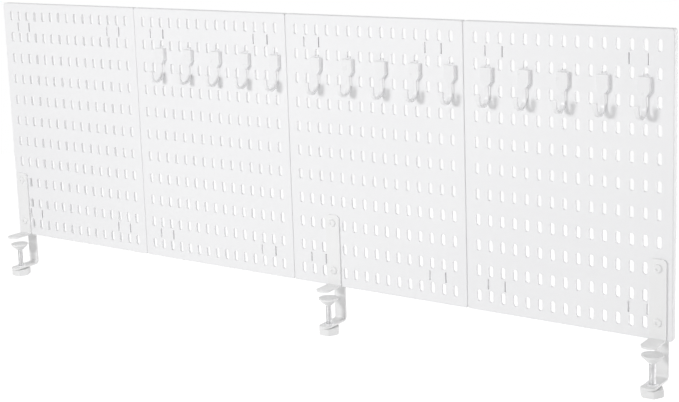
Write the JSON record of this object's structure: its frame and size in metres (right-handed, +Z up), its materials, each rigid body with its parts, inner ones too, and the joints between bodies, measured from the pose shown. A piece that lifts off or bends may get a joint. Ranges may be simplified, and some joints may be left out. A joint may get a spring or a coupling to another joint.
{
  "type": "desk pegboard",
  "caption": "Long clamp-on desk pegboard of square-edged slotted panels in a row, with J hooks hung in the slots and screw clamps that grip a desk's rear edge.",
  "frame": {"origin": "middle of the row at the desk's rear top edge: Z = 0 is the desk top under the clamp tongues, Y = 0 the front face of the rear brackets' webs, X = 0 mid-length", "axes": "+X along the row to the viewer's right, +Y to the rear, away from the desk's user, +Z up"},
  "size_m": [0.8328, 0.042, 0.327],
  "materials": {
    "panel_plastic": "satin moulded",
    "clip_plastic": "satin moulded",
    "hook_plastic": "semi-gloss",
    "clamp_paint": "powder coat",
    "screw_steel": "white painted",
    "nut_steel": "zinc plated",
    "bush_steel": "zinc plated",
    "spindle_steel": "plain thread",
    "knob_plastic": "satin moulded"
  },
  "bodies": {
    "stand": {"panel_1": "panel_plastic", "panel_2": "panel_plastic", "panel_3": "panel_plastic", "panel_4": "panel_plastic", "seam_clip_1a": "clip_plastic", "seam_clip_1b": "clip_plastic", "seam_clip_2a": "clip_plastic", "seam_clip_2b": "clip_plastic", "seam_clip_3a": "clip_plastic", "seam_clip_3b": "clip_plastic", "clamp_1_front_bar": "clamp_paint", "clamp_1_rear_bracket": "clamp_paint", "clamp_1_screws": "screw_steel", "clamp_1_nuts": "nut_steel", "clamp_1_spacers": "clip_plastic", "clamp_1_thread_bush": "bush_steel", "clamp_2_front_bar": "clamp_paint", "clamp_2_rear_bracket": "clamp_paint", "clamp_2_screws": "screw_steel", "clamp_2_nuts": "nut_steel", "clamp_2_spacers": "clip_plastic", "clamp_2_thread_bush": "bush_steel", "clamp_3_front_bar": "clamp_paint", "clamp_3_rear_bracket": "clamp_paint", "clamp_3_screws": "screw_steel", "clamp_3_nuts": "nut_steel", "clamp_3_spacers": "clip_plastic", "clamp_3_thread_bush": "bush_steel"},
    "hook_01_body": {"hook_01": "hook_plastic"},
    "hook_02_body": {"hook_02": "hook_plastic"},
    "hook_03_body": {"hook_03": "hook_plastic"},
    "hook_04_body": {"hook_04": "hook_plastic"},
    "hook_05_body": {"hook_05": "hook_plastic"},
    "hook_06_body": {"hook_06": "hook_plastic"},
    "hook_07_body": {"hook_07": "hook_plastic"},
    "hook_08_body": {"hook_08": "hook_plastic"},
    "hook_09_body": {"hook_09": "hook_plastic"},
    "hook_10_body": {"hook_10": "hook_plastic"},
    "hook_11_body": {"hook_11": "hook_plastic"},
    "hook_12_body": {"hook_12": "hook_plastic"},
    "hook_13_body": {"hook_13": "hook_plastic"},
    "hook_14_body": {"hook_14": "hook_plastic"},
    "hook_15_body": {"hook_15": "hook_plastic"},
    "clamp_1_pad_body": {"clamp_1_pad": "clamp_paint"},
    "clamp_1_screw_body": {"clamp_1_spindle": "spindle_steel", "clamp_1_knob": "knob_plastic"},
    "clamp_2_pad_body": {"clamp_2_pad": "clamp_paint"},
    "clamp_2_screw_body": {"clamp_2_spindle": "spindle_steel", "clamp_2_knob": "knob_plastic"},
    "clamp_3_pad_body": {"clamp_3_pad": "clamp_paint"},
    "clamp_3_screw_body": {"clamp_3_spindle": "spindle_steel", "clamp_3_knob": "knob_plastic"}
  },
  "joints": [
    {"name": "hook_01_lift", "type": "slide", "parent": "stand", "child": "hook_01_body", "axis": [0, 0, 1], "range_m": [0, 0.0058]},
    {"name": "hook_02_lift", "type": "slide", "parent": "stand", "child": "hook_02_body", "axis": [0, 0, 1], "range_m": [0, 0.0058]},
    {"name": "hook_03_lift", "type": "slide", "parent": "stand", "child": "hook_03_body", "axis": [0, 0, 1], "range_m": [0, 0.0058]},
    {"name": "hook_04_lift", "type": "slide", "parent": "stand", "child": "hook_04_body", "axis": [0, 0, 1], "range_m": [0, 0.0058]},
    {"name": "hook_05_lift", "type": "slide", "parent": "stand", "child": "hook_05_body", "axis": [0, 0, 1], "range_m": [0, 0.0058]},
    {"name": "hook_06_lift", "type": "slide", "parent": "stand", "child": "hook_06_body", "axis": [0, 0, 1], "range_m": [0, 0.0058]},
    {"name": "hook_07_lift", "type": "slide", "parent": "stand", "child": "hook_07_body", "axis": [0, 0, 1], "range_m": [0, 0.0058]},
    {"name": "hook_08_lift", "type": "slide", "parent": "stand", "child": "hook_08_body", "axis": [0, 0, 1], "range_m": [0, 0.0058]},
    {"name": "hook_09_lift", "type": "slide", "parent": "stand", "child": "hook_09_body", "axis": [0, 0, 1], "range_m": [0, 0.0058]},
    {"name": "hook_10_lift", "type": "slide", "parent": "stand", "child": "hook_10_body", "axis": [0, 0, 1], "range_m": [0, 0.0058]},
    {"name": "hook_11_lift", "type": "slide", "parent": "stand", "child": "hook_11_body", "axis": [0, 0, 1], "range_m": [0, 0.0058]},
    {"name": "hook_12_lift", "type": "slide", "parent": "stand", "child": "hook_12_body", "axis": [0, 0, 1], "range_m": [0, 0.0058]},
    {"name": "hook_13_lift", "type": "slide", "parent": "stand", "child": "hook_13_body", "axis": [0, 0, 1], "range_m": [0, 0.0058]},
    {"name": "hook_14_lift", "type": "slide", "parent": "stand", "child": "hook_14_body", "axis": [0, 0, 1], "range_m": [0, 0.0058]},
    {"name": "hook_15_lift", "type": "slide", "parent": "stand", "child": "hook_15_body", "axis": [0, 0, 1], "range_m": [0, 0.0058]},
    {"name": "clamp_1_pad_slide", "type": "slide", "parent": "stand", "child": "clamp_1_pad_body", "axis": [0, 0, 1], "range_m": [-0.0196, 0.0008]},
    {"name": "clamp_1_spindle_turn", "type": "hinge", "parent": "clamp_1_pad_body", "child": "clamp_1_screw_body", "pos_m": [-0.40345, -0.0205, 0], "axis": [0, 0, 1], "range_deg": [-7057, 289]},
    {"name": "clamp_2_pad_slide", "type": "slide", "parent": "stand", "child": "clamp_2_pad_body", "axis": [0, 0, 1], "range_m": [-0.0196, 0.0008]},
    {"name": "clamp_2_spindle_turn", "type": "hinge", "parent": "clamp_2_pad_body", "child": "clamp_2_screw_body", "pos_m": [0.05215, -0.0205, 0], "axis": [0, 0, 1], "range_deg": [-7057, 289]},
    {"name": "clamp_3_pad_slide", "type": "slide", "parent": "stand", "child": "clamp_3_pad_body", "axis": [0, 0, 1], "range_m": [-0.0196, 0.0008]},
    {"name": "clamp_3_spindle_turn", "type": "hinge", "parent": "clamp_3_pad_body", "child": "clamp_3_screw_body", "pos_m": [0.40345, -0.0205, 0], "axis": [0, 0, 1], "range_deg": [-7057, 289]}
  ],
  "couplings": [
    {"joint": "clamp_1_spindle_turn", "follows": "clamp_1_pad_slide", "rad_per_m": 6283.2},
    {"joint": "clamp_2_spindle_turn", "follows": "clamp_2_pad_slide", "rad_per_m": 6283.2},
    {"joint": "clamp_3_spindle_turn", "follows": "clamp_3_pad_slide", "rad_per_m": 6283.2}
  ]
}
